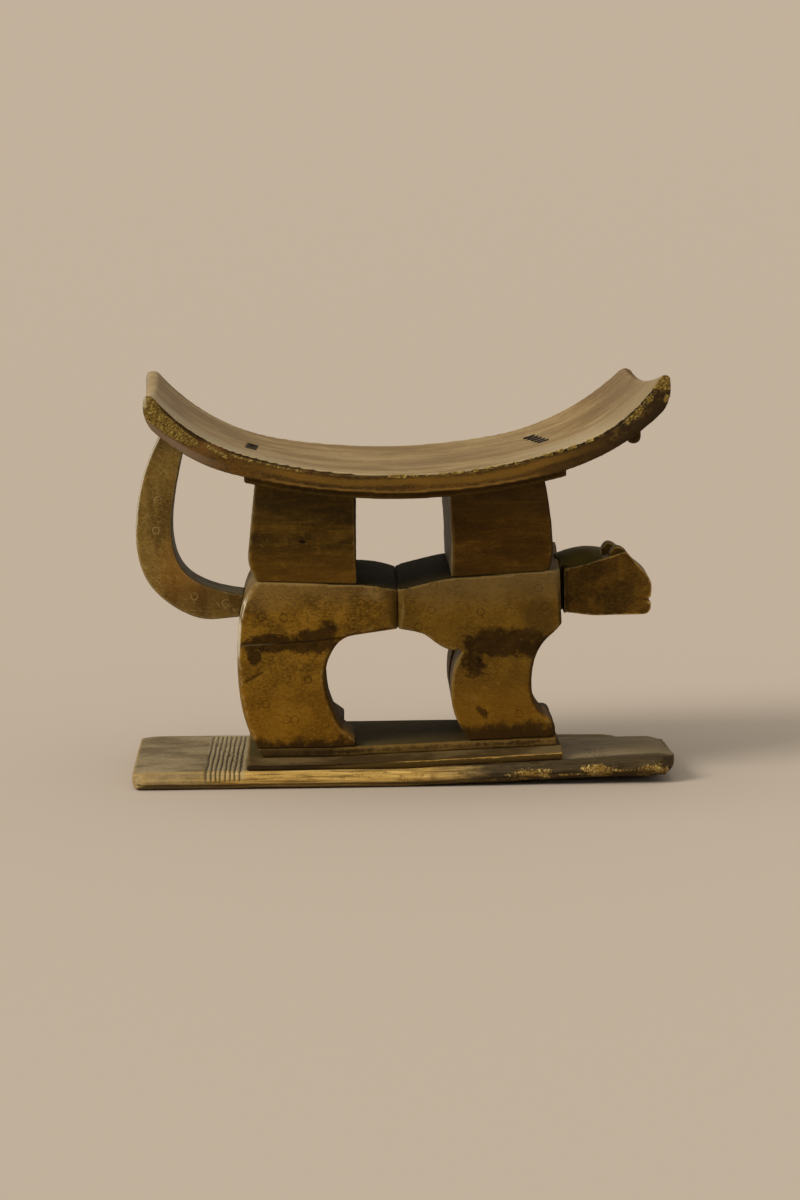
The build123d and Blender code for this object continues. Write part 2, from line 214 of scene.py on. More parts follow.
class Wire:
    # a socket in a material; arithmetic on it adds Math nodes, and without a socket it starts a tree
    def __init__(self, tree, socket):
        self.tree = tree
        self.socket = socket

    def node(self, kind, settings, sockets, output=0):
        made = self.tree.nodes.new(kind)
        for setting, value in settings.items():
            setattr(made, setting, value)
        for place, value in sockets.items():
            if isinstance(value, Wire):
                self.tree.links.new(value.socket, made.inputs[place])
            else:
                made.inputs[place].default_value = value
        return Wire(self.tree, made.outputs[output] if made.outputs else None)

    def maths(self, operation, first, second):
        return self.node("ShaderNodeMath", {"operation": operation}, {0: first, 1: second})

    def __add__(self, other):
        return self.maths("ADD", self, other)

    def __radd__(self, other):
        return self.maths("ADD", other, self)

    def __sub__(self, other):
        return self.maths("SUBTRACT", self, other)

    def __rsub__(self, other):
        return self.maths("SUBTRACT", other, self)

    def __mul__(self, other):
        return self.maths("MULTIPLY", self, other)

    def __rmul__(self, other):
        return self.maths("MULTIPLY", other, self)

    def __truediv__(self, other):
        return self.maths("DIVIDE", self, other)

    def __rtruediv__(self, other):
        return self.maths("DIVIDE", other, self)

    def __neg__(self):
        return self * -1

    def __abs__(self):
        return self.maths("ABSOLUTE", self, 0)


def rise(value, low, high):
    # what ramp does, in a material
    settings = {"interpolation_type": "SMOOTHSTEP"}
    return value.node("ShaderNodeMapRange", settings, {0: value, 1: low, 2: high, 3: 0.0, 4: 1.0})


def between(value, low, high, soft):
    # 1 from low to high, with soft ends
    return rise(value, low - soft, low + soft) * (1 - rise(value, high - soft, high + soft))


def larger(first, second):
    return first.maths("MAXIMUM", first, second)


def colourMix(mask, under, over):
    return mask.node("ShaderNodeMix", {"data_type": "RGBA"}, {0: mask, 6: under, 7: over}, output=2)


class Surface:
    # what every wood starts from: where a point is, which way it faces, and its noises
    def __init__(self, title):
        self.material = bpy.data.materials.new(title)
        self.material.use_nodes = True
        self.tree = self.material.node_tree
        self.tree.nodes.clear()
        self.start = Wire(self.tree, None)
        place = self.start.node("ShaderNodeTexCoord", {}, {}, output="Object")
        sockets = {0: place, "Scale": 1 / mm}
        self.place = self.start.node("ShaderNodeVectorMath", {"operation": "SCALE"}, sockets)
        self.x, self.y, self.z = self.apart(self.place)
        facing = self.start.node("ShaderNodeTexCoord", {}, {}, output="Normal")
        self.faceX, self.faceY, self.faceZ = self.apart(facing)

    def apart(self, vector):
        split = self.start.node("ShaderNodeSeparateXYZ", {}, {0: vector}).socket.node
        return [Wire(self.tree, socket) for socket in split.outputs]

    def painted(self, title):
        return self.start.node("ShaderNodeAttribute", {"attribute_name": title}, {}, output="Fac")

    def noise(self, size, detail=3.0, roughness=0.55, shift=0.0, warp=0.0, lean=0.0):
        # size in millimetres: one number, or one for each axis; lean turns it in the plane of the flank
        sizes = size if isinstance(size, tuple) else (size, size, size)
        sockets = {"Vector": self.place, "Location": [-shift * part for part in sizes]}
        sockets.update({"Rotation": (0, lean, 0), "Scale": sizes})
        where = self.start.node("ShaderNodeMapping", {"vector_type": "TEXTURE"}, sockets)
        sockets = {"Vector": where, "Scale": 1.0, "Detail": detail, "Roughness": roughness}
        sockets["Distortion"] = warp
        return self.start.node("ShaderNodeTexNoise", {}, sockets)

    def patch(self, x, z, wide, high, lean=0.0):
        # 1 in the middle of an oval on a flank, 0 on its rim and outside
        across = (self.x - x) / wide
        along = (self.z - z - (self.x - x) * lean) / high
        return 1 - rise(across * across + along * along, 0.0, 1.0)

    def finish(self, coat):
        sockets = {"Strength": 1.0, "Distance": coat.look["bump"] * mm, "Height": coat.height}
        bump = self.start.node("ShaderNodeBump", {}, sockets)
        sockets = {"Base Color": coat.colour, "Roughness": coat.roughness, "Normal": bump}
        sockets["Specular IOR Level"] = coat.look["gloss"]
        shader = self.start.node("ShaderNodeBsdfPrincipled", {}, sockets)
        self.start.node("ShaderNodeOutputMaterial", {}, {"Surface": shader})
        return self.material


class Coat:
    # old handled wood: long grain along X, flecks, blotches, dirt in the creases, rubbed edges that also
    # carry a painted highlight
    # in a look, seed shifts the noises, blotch and bump are in millimetres, and lean is an angle
    # the others are strengths from 0 to 1
    def __init__(self, surface, tones, look):
        seed = look["seed"]
        lean = look["lean"]
        flow = surface.noise((80, 6, 6), detail=4, roughness=0.6, warp=0.5, shift=seed)
        lines = surface.noise((44, 2.4, 2.4), detail=4, roughness=0.72, shift=seed + 3)
        blotch = surface.noise(look["blotch"], detail=5, roughness=0.62, shift=seed + 13)
        cloud = surface.noise(8, detail=5, roughness=0.68, shift=seed + 17)
        flecks = surface.noise((3.4, 2.1, 2.1), detail=2, roughness=0.7, shift=seed + 23)
        scratches = surface.noise((20, 4, 1.0), detail=1, roughness=0.5, shift=seed + 29, lean=lean)
        self.blotch = blotch
        self.cloud = cloud
        self.look = look
        self.tones = tones
        self.colour = tones["deep"]
        self.cover(rise(blotch, 0.38, 0.62), "mid")
        self.cover(rise(cloud * 0.5 + blotch * 0.5, 0.48, 0.68) * look["bright"], "light")
        self.cover(rise(flow, 0.5, 0.72) * look["grain"], "deep")
        self.cover(rise(lines, 0.5, 0.7) * look["grain"], "deep")
        self.cover(rise(flecks, 0.52, 0.68) * look["fleck"], "dirt")
        self.cover(rise(-flecks, -0.48, -0.34) * look["fleck"], "light")
        scored = rise(scratches, 0.67, 0.72) * rise(cloud, 0.46, 0.56)
        self.cover(scored * 0.35, "dirt")
        self.cover(rise(surface.painted("crease") + (cloud - 0.5) * 0.5, 0.3, 0.9) * 0.6, "dirt")
        # pale rubbed edges: wear, and a painted highlight along the edges
        rubbedAndGlinting = rise(surface.painted("edge") + (cloud - 0.5) * 1.6, 0.5, 1.0)
        self.cover(rubbedAndGlinting * look["rubAndGlint"], "rubAndGlint")
        # marks painted darker: the punched rings, and painted shade in the seat's slots and the base's
        # grooves and crack
        self.cover(surface.painted("mark") * look["mark"], "dirt")
        self.height = flow * 0.4 + lines * 0.6 + flecks * 0.7 + cloud * 0.6 - scored * 0.5
        self.roughness = look["rough"] + (cloud - 0.5) * 0.3 + rubbedAndGlinting * 0.1 - rise(lines, 0.5, 0.7) * 0.05

    def cover(self, mask, tone):
        # lay one of the tones, or a blend of two, over the coat where the mask is 1
        over = self.tones[tone] if isinstance(tone, str) else tone
        self.colour = colourMix(mask, self.colour, over)

    def blend(self, mask, under, over):
        return colourMix(mask, self.tones[under], self.tones[over])


bodyTones = {
    "deep": tint(94, 66, 18), "mid": tint(127, 91, 24), "light": tint(146, 107, 36),
    "dirt": tint(44, 31, 10), "rubAndGlint": tint(170, 142, 88),
    "fore": tint(90, 66, 22), "dustFilm": tint(112, 94, 60), "lowLegs": tint(136, 90, 16),
    "stain": tint(33, 21, 8), "stainThin": tint(54, 35, 13), "dusky": tint(70, 51, 19),
    "feet": tint(42, 28, 12), "checkPale": tint(120, 104, 72), "checkDark": tint(34, 24, 11),
    "dry": tint(142, 118, 72), "nailRust": tint(42, 27, 10), "backShade": tint(36, 30, 9),
    "rearDustSheenDark": tint(102, 83, 48), "rearDustSheenPale": tint(126, 107, 70), "streaks": tint(216, 205, 178),
    "front": tint(44, 35, 18), "inward": tint(46, 39, 22),
}
bodyLook = {
    "seed": 2.0, "blotch": 38, "rough": 0.5, "lean": 0.45, "bump": 0.4, "gloss": 0.03,
    "bright": 0.8, "grain": 0.26, "fleck": 0.5, "rubAndGlint": 0.45, "mark": 0.7,
}
# dark ovals on the flanks: middle x and z, half width, half height, and how they slope
bodyStains = [
    (-136, 149, 48, 13, 0.04), (-96, 150, 36, 17), (-78, 161, 15, 18), (-154, 137, 10, 16),
    (92, 147, 42, 21, 0.05), (126, 147, 38, 22),
]
rumpCheck = {"x": -132, "z": 149.2, "slope": 0.058}  # the line of a drying check across the rump


def bodyWood():
    surface = Surface("bodyWood")
    coat = Coat(surface, bodyTones, bodyLook)
    cloud, blotch = coat.cloud, coat.blotch
    x, y, z = surface.x, surface.y, surface.z
    wobble = surface.noise(20, detail=5, roughness=0.65, shift=15)
    lines = surface.noise((3, 3, 40), detail=3, roughness=0.6, shift=19)
    ragged = (cloud - 0.5) * 2.4 + (wobble - 0.5) * 1.6
    # duller on the fore half, greyed by dust near the blocks, redder low on the legs
    fore = rise(x + (blotch - 0.5) * 60, -40, 30)
    coat.cover(fore * 0.5, "fore")
    film = larger(rise(z + (blotch - 0.5) * 50, 178, 214), surface.patch(-140, 205, 42, 30) * 0.8)
    coat.cover(film * 0.42, "dustFilm")
    low = 1 - rise(z + (blotch - 0.5) * 40, 70, 130)
    coat.cover(low * 0.35, "lowLegs")
    # sweat and soot stains: across the rump, on the shoulder and at the feet
    stain = surface.patch(74, 126, 18, 20) * 0.9
    for oval in bodyStains:
        stain = larger(stain, surface.patch(*oval))
    stained = rise(stain + ragged * rise(stain, 0.0, 0.25), 0.15, 0.8)
    sooty = coat.blend(rise(wobble, 0.42, 0.62), "stain", "stainThin")
    coat.cover(stained * 0.88, sooty)
    # darker patches: painted shade where the flank pinches in at the waist, and a darker patch near the
    # chest's front edge
    dusky = larger(surface.patch(143, 175, 24, 30), surface.patch(-8, 168, 38, 34) * 0.7)
    coat.cover(rise(dusky + ragged * 0.4, 0.2, 0.9) * 0.5, "dusky")
    feet = 1 - rise(z + (cloud - 0.5) * 22 + (wobble - 0.5) * 22 - rise(x, 0, 60) * 13, 40, 52)
    coat.cover(feet * 0.88, "feet")
    # a thin check in the rump stain, pale at its tail end and dark beyond
    above = z - rumpCheck["z"] - (x - rumpCheck["x"]) * rumpCheck["slope"]
    check = 1 - rise(abs(above - rise(x, -95, -50) * 2.5 - (cloud - 0.5) * 3), 0.3, 1.1)
    check = check * between(x, -170, -62, 4) * rise(-surface.faceY, 0.3, 0.6)
    coat.cover(check * (1 - rise(x, -150, -120)) * 0.5, "checkPale")
    coat.cover(check * rise(x, -150, -120) * 0.8, "checkDark")
    # dry spots by the waist and on the foreleg, and the rims of the two nail holes
    worn = larger(surface.patch(-31, 200, 17, 14), surface.patch(71, 91, 10, 12) * 0.4)
    coat.cover(rise(worn + ragged, 0.5, 1.3) * 0.32, "dry")
    nails = larger(surface.patch(83, 73, 8, 8, lean=-0.8), surface.patch(81, 126, 7, 7))
    rusted = rise(nails + ragged * 1.5 * rise(nails, 0.0, 0.25), 0.3, 1.1)
    coat.cover(rusted * 0.75, "nailRust")
    # painted shade on the back between the blocks, under the seat, and dust with a painted sheen on
    # everything that faces the tail
    backShade = rise(surface.faceZ, 0.5, 0.75) * rise(z, 186, 200) * between(x, -85, 105, 15)
    coat.cover(backShade * 0.93, "backShade")
    # dust and a painted sheen on the faces turned to the tail and the key light
    dustAndSheen = coat.blend(rise(blotch, 0.35, 0.65), "rearDustSheenDark", "rearDustSheenPale")
    rear = rise(-surface.faceX + (cloud - 0.5) * 0.3, 0.5, 0.85)
    coat.cover(rear * (0.5 - rise(x, -60, -20) * 0.3 + rise(x, 40, 60) * 0.35), dustAndSheen)
    # a painted highlight: pale streaks down the near rounded edge of the rump
    rump = rise(-surface.faceX, 0.35, 0.6) * between(z + (wobble - 0.5) * 40, 136, 196, 8)
    rump = rump * (1 - rise(x, -150, -140)) * rise(-y, 84, 100)
    coat.cover(rump * rise(lines, 0.38, 0.52) * 0.8, "streaks")
    # painted shade on the faces turned towards the head, away from the key light
    front = rise(surface.faceX, 0.4, 0.8) * (1 - rise(z, 198, 208))
    coat.cover(front * 0.65, "front")
    # painted shade on the inner sides of the far legs
    inward = rise(y, 0, 20) * (1 - rise(surface.faceY, 0.1, 0.4)) * (1 - rise(-surface.faceX, 0.5, 0.8))
    coat.cover(inward * (1 - rise(z, 150, 180)) * 0.5, "inward")
    coat.roughness += larger(backShade, front) * 0.22
    coat.roughness -= stained * 0.08
    return surface.finish(coat)


blockTones = {
    "deep": tint(52, 37, 11), "mid": tint(86, 61, 17), "light": tint(112, 82, 27),
    "dirt": tint(26, 19, 8), "rubAndGlint": tint(132, 104, 50),
    "redFoot": tint(98, 64, 14), "foreBlock": tint(78, 46, 8), "foreFoot": tint(50, 32, 6),
    "soot": tint(62, 50, 26), "knot": tint(18, 12, 5), "rearDustSheenDark": tint(118, 101, 66),
    "rearDustSheenPale": tint(142, 125, 90), "front": tint(32, 25, 12),
}
blockLook = {
    "seed": 9.0, "blotch": (90, 20, 20), "rough": 0.5, "lean": 0.45, "bump": 0.4, "gloss": 0.04,
    "bright": 0.9, "grain": 0.7, "fleck": 0.22, "rubAndGlint": 0.35, "mark": 0.6,
}


def blockWood():
    surface = Surface("blockWood")
    coat = Coat(surface, blockTones, blockLook)
    cloud, blotch = coat.cloud, coat.blotch
    # redder at the foot, soot under the rail, dust with a painted sheen on the faces towards the tail
    foot = 1 - rise(surface.z + (blotch - 0.5) * 50, 218, 262)
    coat.cover(foot * (1 - rise(surface.x, -30, 30)) * 0.45, "redFoot")
    coat.cover(rise(surface.x, -30, 30) * 0.35, "foreBlock")
    coat.cover(foot * rise(surface.x, -30, 30) * 0.4, "foreFoot")
    soot = rise(surface.z + (cloud - 0.5) * 40, 262, 300)
    coat.cover(soot * 0.4, "soot")
    # a small flat knot on the near face of the rump's block
    knotX, knotZ = surface.x + 102, surface.z - 255.5
    knot = 1 - rise(knotX * knotX / 14 + knotZ * knotZ / 2.2 + (cloud - 0.5) * 2, 0.4, 1.6)
    coat.cover(knot * rise(-surface.y, 0, 20) * 0.9, "knot")
    # dust and a painted sheen on the faces turned to the tail and the key light
    dustAndSheen = coat.blend(rise(blotch, 0.35, 0.65), "rearDustSheenDark", "rearDustSheenPale")
    coat.cover(rise(-surface.faceX + (cloud - 0.5) * 0.3, 0.5, 0.85) * 0.75, dustAndSheen)
    # painted shade on the faces turned towards the head, away from the key light
    front = rise(surface.faceX, 0.4, 0.8)
    coat.cover(front * 0.5, "front")
    coat.roughness += front * 0.3
    coat.height -= knot * 1.5
    return surface.finish(coat)


tailTones = {
    "deep": tint(98, 74, 32), "mid": tint(130, 102, 46), "light": tint(148, 118, 60),
    "dirt": tint(40, 30, 12), "rubAndGlint": tint(176, 156, 112),
    "bend": tint(140, 88, 26), "root": tint(78, 54, 22), "top": tint(62, 50, 30),
    "scored": tint(176, 148, 92), "rearDustSheenDark": tint(104, 85, 48), "rearDustSheenPale": tint(126, 107, 70),
    "rim": tint(212, 202, 176), "inner": tint(74, 68, 38),
}
tailLook = {
    "seed": 21.0, "blotch": (22, 22, 60), "rough": 0.48, "lean": 0.9, "bump": 0.4, "gloss": 0.05,
    "bright": 0.6, "grain": 0.3, "fleck": 0.4, "rubAndGlint": 0.3, "mark": 0.0,
}


def tailWood():
    surface = Surface("tailWood")
    coat = Coat(surface, tailTones, tailLook)
    cloud, blotch = coat.cloud, coat.blotch
    z = surface.z
    # redder round the bend, darker low down and at the top where it meets the seat, scored with short pale
    # strokes
    bend = surface.patch(-222, 218, 46, 46)
    coat.cover(bend * 0.4, "bend")
    coat.cover(surface.patch(-196, 188, 62, 26) * 0.55, "root")
    top = rise(z + (cloud - 0.5) * 30, 336, 356)
    coat.cover(top * 0.5, "top")
    strokes = surface.noise((9, 4, 1.4), detail=1, roughness=0.5, shift=41, lean=0.8)
    strokes = rise(strokes, 0.61, 0.67) * rise(blotch, 0.42, 0.54)
    crossing = surface.noise((14, 4, 1.1), detail=1, roughness=0.5, shift=43)
    crossing = rise(crossing, 0.64, 0.7) * rise(cloud, 0.44, 0.56)
    scored = larger(strokes, larger(crossing, surface.painted("mark") * 1.6))
    coat.cover(scored * 0.32, "scored")
    # dust and a painted sheen on the faces turned to the tail and the key light
    dustAndSheen = coat.blend(rise(blotch, 0.35, 0.65), "rearDustSheenDark", "rearDustSheenPale")
    coat.cover(rise(-surface.faceX + (cloud - 0.5) * 0.2, 0.5, 0.85) * 0.55, dustAndSheen)
    # a painted highlight along the pale rim turned to the key light
    rim = between(-surface.faceX, 0.3, 0.8, 0.12) * rise(z + (cloud - 0.5) * 60, 240, 280)
    coat.cover(rim * 0.7, "rim")
    # painted shade on the inner side, turned away from the key light under the seat
    inner = rise(surface.faceX + surface.faceZ, 0.5, 0.9)
    coat.cover(inner * 0.8, "inner")
    coat.height -= scored * 0.6
    return surface.finish(coat)


headTones = {
    "deep": tint(74, 52, 16), "mid": tint(106, 75, 23), "light": tint(136, 98, 35),
    "dirt": tint(30, 22, 9), "rubAndGlint": tint(200, 164, 92),
    "throatShade": tint(24, 18, 9), "above": tint(100, 90, 44),
}
headLook = {
    "seed": 33.0, "blotch": 30, "rough": 0.45, "lean": 0.45, "bump": 0.4, "gloss": 0.05,
    "bright": 0.6, "grain": 0.45, "fleck": 0.25, "rubAndGlint": 0.6, "mark": 0.6,
}


def headWood():
    surface = Surface("headWood")
    coat = Coat(surface, headTones, headLook)
    # painted shade at the throat, dusty top
    throatShade = 1 - rise(surface.x + (coat.cloud - 0.5) * 6, 170, 180)
    coat.cover(throatShade * 0.7, "throatShade")
    above = rise(surface.faceZ, 0.5, 0.85)
    coat.cover(above * 0.75, "above")
    return surface.finish(coat)


seatTones = {
    "deep": tint(122, 96, 54), "mid": tint(148, 122, 76), "light": tint(168, 145, 102),
    "dirt": tint(52, 39, 18), "rubAndGlint": tint(184, 164, 124),
    "stain": tint(108, 82, 46), "pale": tint(172, 153, 118), "headEnd": tint(116, 96, 66),
    "fibreDark": tint(112, 86, 32), "fibrePale": tint(188, 162, 90), "endGrain": tint(150, 137, 122),
    "crown": tint(160, 122, 64), "chip": tint(92, 62, 20), "under": tint(66, 47, 20),
    "slotShade": tint(12, 9, 5),
}
seatLook = {
    "seed": 47.0, "blotch": (120, 34, 34), "rough": 0.5, "lean": 0.0, "bump": 0.35, "gloss": 0.12,
    "bright": 0.8, "grain": 0.36, "fleck": 0.16, "rubAndGlint": 0.4, "mark": 1.0,
}
seatSideTones = {
    "deep": tint(60, 41, 10), "mid": tint(92, 62, 17), "light": tint(110, 76, 24),
    "dirt": tint(26, 18, 8), "rubAndGlint": tint(156, 126, 62),
    "headHalf": tint(54, 36, 8), "wing": tint(44, 30, 10), "mottle": tint(104, 78, 32),
    "middle": tint(134, 98, 32), "bevel": tint(132, 110, 84), "lip": tint(32, 23, 9),
    "hem": tint(146, 108, 44), "warm": tint(122, 84, 40), "bare": tint(122, 96, 38),
    "barePale": tint(182, 156, 84), "bareDark": tint(56, 42, 15), "shine": tint(206, 194, 160),
}
seatSideLook = dict(seatLook, seed=53.0, grain=0.5, bright=0.8, fleck=0.45, rubAndGlint=0.2)


def seatWood():
    surface = Surface("seatWood")
    coat = Coat(surface, seatTones, seatLook)
    side = Coat(surface, seatSideTones, seatSideLook)
    cloud = coat.cloud
    x, y, z = surface.x, surface.y, surface.z
    drop = surface.painted("drop")  # millimetres below the near top edge
    fuzz = surface.noise((2.6, 1.5, 1.5), detail=3, roughness=0.75, shift=71, lean=-0.7)
    tuft = surface.noise(8, detail=4, roughness=0.7, shift=73)
    # long brown stains on the sitting face, most of all up the head end
    streak = surface.noise((90, 8, 90), detail=4, roughness=0.6, shift=61)
    headEnd = between(x, 198, 262, 14) * between(y, -8, 150, 14)
    headEnd = headEnd * rise(streak + (cloud - 0.5) * 0.2, 0.43, 0.52)
    middle = between(x, 4, 110, 24) * between(y, -60, 90, 30) * rise(streak, 0.5, 0.6) * 0.4
    tailEnd = between(x, -262, -170, 20) * between(y, 0, 150, 20) * rise(streak, 0.52, 0.62) * 0.5
    stained = larger(headEnd * 0.9, larger(middle, tailEnd * 1.3))
    coat.cover(stained, "stain")
    # a painted sheen: pale towards both tips on the near half of the sitting face
    pale = rise(-y + (streak - 0.5) * 90, 10, 90) * rise(abs(x), 60, 190) * (1 - rise(x, 190, 240) * 0.5)
    coat.cover(pale * 0.6, "pale")
    coat.cover(rise(x, 200, 245) * 0.4, "headEnd")
    # the near side: dark wing at the head end, golden brown middle, pale smooth bevel at the tail end
    wing = rise(x + (cloud - 0.5) * 30, 196, 226)
    mottle = rise(tuft + (fuzz - 0.5) * 0.4, 0.44, 0.62) * (1 - rise(drop + (tuft - 0.5) * 12, 10, 18))
    side.cover(rise(x + (cloud - 0.5) * 60, 70, 190) * 0.65, "headHalf")
    side.cover(wing * 0.85, "wing")
    side.cover(wing * mottle * 0.6, "mottle")
    middleBand = between(drop + (streak - 0.5) * 14, 6, 13, 2) * (1 - rise(abs(x - 20), 120, 200))
    side.cover(middleBand * 0.5, "middle")
    bevel = (1 - rise(x, -224, -168)) * rise(drop + (x + 245) * 0.05 + (tuft - 0.5) * 3, 17, 20)
    side.cover(bevel * 0.75, "bevel")
    lip = between(drop, -1, 3.6, 0.8) * rise(x, -252, -238)
    side.cover(lip * 0.72, "lip")
    hem = rise(drop, 17.5, 19) * (1 - rise(abs(x), 110, 160))
    side.cover(hem * 0.5, "hem")
    warm = surface.patch(-196, 358, 22, 10)
    side.cover(warm * 0.45, "warm")
    # bare fuzzy wood where the near side is rubbed through
    near = rise(-surface.faceY, 0.1, 0.4)
    tailRub = 1 - rise(x + (tuft - 0.5) * 16, -212, -200)
    tailRub = tailRub * rise(drop - (x + 258) * 0.085, 0.3, 2.2)
    tailRub = tailRub * (1 - rise(drop + (x + 245) * 0.17, 17.5, 22))
    tailTrail = between(x, -199, -176, 5) * between(drop - (x + 199) * 0.1, 3.5, 9, 1.5) * 0.9
    tailTrail = larger(tailTrail, between(x, -176, -96, 8) * between(drop, 3.4, 6.5, 1.0) * 0.75)
    wingRub = between(x, 224, 262, 8) * between(drop, 1.5, 9, 2.0) * 0.7
    lipRub = between(x, -20, 205, 25) * between(drop, -0.8, 4.2, 0.8) * rise(tuft, 0.42, 0.54) * 1.1
    tipRub = larger(rise(x, 252, 258) * rise(z, 410, 415), surface.patch(274, 403, 7, 8))
    rubField = larger(larger(tailRub, tailTrail), larger(larger(wingRub, lipRub), tipRub)) * near
    bare = rise(rubField + (tuft - 0.5) * 1.6 + (fuzz - 0.5) * 1.2, 0.42, 0.85) * rise(rubField, 0.05, 0.3)
    side.cover(bare, "bare")
    side.cover(bare * rise(fuzz, 0.52, 0.66), "barePale")
    side.cover(bare * rise(-fuzz, -0.48, -0.36), "bareDark")
    # a painted highlight: a pale strip down the near side at the tail tip
    shine = between(x, -262.5, -258.5, 0.8) * between(z, 402, 418, 4)
    side.cover(shine * 0.6, "shine")
    sitting = rise(surface.faceZ + (cloud - 0.5) * 0.06, 0.36, 0.5)
    coat.colour = colourMix(sitting, side.colour, coat.colour)
    # flecks of bare wood that run over the near edge
    lipBare = rise(lipRub * near + (fuzz - 0.5) * 1.4, 0.62, 1.0)
    fibres = coat.blend(rise(fuzz, 0.48, 0.62), "fibreDark", "fibrePale")
    coat.cover(lipBare, fibres)
    # both ends: pale bare end grain, golden along the crown
    tip = rise(abs(x), 262, 271) * (1 - near) * (1 - rise(surface.faceZ, 0.8, 0.95))
    coat.cover(tip * 0.8, "endGrain")
    crown = rise(z + (tuft - 0.5) * 8, 416, 423) * rise(y, 20, 60)
    coat.cover(crown * 0.7, "crown")
    chip = surface.patch(253, 414, 9, 9) * rise(y, 30, 60)
    coat.cover(rise(chip + (fuzz - 0.5), 0.3, 0.6), "chip")
    # painted shade on the underside
    under = rise(-surface.faceZ, 0.4, 0.7)
    coat.cover(under * 0.7, "under")
    # painted shade in the slots, near black, over the rest
    coat.cover(surface.painted("mark") * 0.97, "slotShade")
    coat.height += bare * (fuzz * 3.0 + tuft * 1.5) * (1 - sitting)
    coat.roughness += bare * 0.3 * (1 - sitting)
    coat.roughness += under * 0.2
    return surface.finish(coat)


baseTones = {
    "deep": tint(104, 88, 58), "mid": tint(140, 121, 86), "light": tint(164, 145, 110),
    "dirt": tint(36, 28, 15), "rubAndGlint": tint(168, 140, 82),
    "headHalf": tint(104, 86, 52), "rim": tint(184, 146, 74), "rimPale": tint(226, 190, 114),
    "rimDark": tint(84, 60, 22), "rimBrown": tint(108, 78, 30), "hem": tint(48, 34, 14),
    "contact": tint(16, 12, 6), "scorch": tint(38, 32, 24), "headTip": tint(82, 72, 46),
    "chips": tint(146, 112, 48), "chipsPale": tint(222, 192, 120), "combed": tint(50, 40, 24),
    "ridges": tint(172, 154, 112), "grooves": tint(34, 26, 14), "under": tint(68, 52, 28),
}
baseLook = {
    "seed": 81.0, "blotch": (70, 40, 40), "rough": 0.58, "lean": 0.0, "bump": 0.45, "gloss": 0.08,
    "bright": 0.8, "grain": 0.4, "fleck": 0.25, "rubAndGlint": 0.4, "mark": 0.85,
}


def baseWood():
    surface = Surface("baseWood")
    coat = Coat(surface, baseTones, baseLook)
    x, y, z = surface.x, surface.y, surface.z
    fuzz = surface.noise((1.6, 2.4, 3.4), detail=3, roughness=0.75, shift=91)
    tuft = surface.noise((16, 6, 6), detail=4, roughness=0.65, shift=93)
    headHalf = rise(x + (coat.blotch - 0.5) * 60, 0, 80)
    coat.cover(headHalf * 0.45, "headHalf")
    # handled golden rim along the near side, streaked along the grain, with a thin dark line low on it and
    # painted shade along its lower edge where it meets the floor
    streaks = surface.noise((60, 5, 2.6), detail=4, roughness=0.65, shift=97)
    rim = rise(-y + (streaks - 0.5) * 44, 97, 119) * (0.2 + rise(x + (tuft - 0.5) * 60, -218, -186) * 0.8)
    coat.cover(rim * (1 - headHalf * 0.5), "rim")
    coat.cover(rim * rise(streaks, 0.5, 0.66) * (0.7 - headHalf * 0.3), "rimPale")
    coat.cover(rim * rise(-streaks, -0.48, -0.38) * 0.75, "rimDark")
    coat.cover(rim * rise(tuft + (fuzz - 0.5) * 0.5, 0.52, 0.66) * 0.6, "rimBrown")
    hemLine = 1 - rise(abs(z - 5.2 - rise(x, 0, 220) * 9 - (streaks - 0.5) * 7), 0.6, 1.8)
    coat.cover(hemLine * rise(-y, 114, 119) * 0.75, "hem")
    # painted shade on the rounded lower edge of the rim, rising with the lifted head end
    bottom = larger(x * 0.05, 0.0)
    contact = (1 - rise(z - bottom + (streaks - 0.5) * 3, 0.8, 2.6)) * rise(-y, 100, 112)
    coat.cover(contact * 0.9, "contact")
    # scorched band along the rim at the head end, broken by bare chipped wood
    scorch = rise(x + (tuft - 0.5) * 60 + y * 0.6 + 72, 48, 88) * rise(-y + (tuft - 0.5) * 22, 96, 110)
    coat.cover(scorch * 0.86, "scorch")
    tip = rise(x, 200, 270) * (1 - rise(abs(y + 40) + (tuft - 0.5) * 60, 40, 95)) * 0.5
    coat.cover(tip, "headTip")
    hem = 1 - rise(abs(z - 4.5 - rise(x, 40, 250) * 10 - (fuzz - 0.5) * 3), 1.0, 2.4)
    chipField = larger(surface.patch(134, 10, 34, 11), surface.patch(203, 14, 26, 11))
    chipField = larger(chipField, surface.patch(258, 14, 26, 12) * 0.8)
    chipField = larger(chipField, hem * rise(x, 60, 90) * 0.75) * rise(-y, 108, 118)
    chips = rise(chipField + (tuft - 0.5) * 2.4 + (fuzz - 0.5) * 1.6, 0.4, 0.8) * rise(chipField, 0.02, 0.2)
    coat.cover(chips * 0.9, "chips")
    coat.cover(chips * rise(fuzz + (tuft - 0.5) * 0.4, 0.52, 0.66), "chipsPale")
    combed = surface.noise((1.1, 26, 26), detail=1, roughness=0.5, shift=95)
    combed = rise(combed, 0.56, 0.64) * between(x, 192, 212, 4) * between(-y, 30, 110, 8)
    coat.cover(combed * 0.75, "combed")
    # painted highlights on the ridges between the tally grooves
    ridges = between(x, -206, -165, 2) * rise(surface.faceZ, 0.2, 0.6)
    coat.cover(ridges * 0.45, "ridges")
    # painted shade in the grooves and the crack
    coat.cover(surface.painted("mark") * 0.75, "grooves")
    # painted shade on the underside
    dark = rise(-surface.faceZ, 0.2, 0.6)
    coat.cover(dark * 0.7, "under")
    coat.height += chips * fuzz * 3.0
    coat.height -= combed * 0.5
    coat.roughness += chips * 0.2
    return surface.finish(coat)


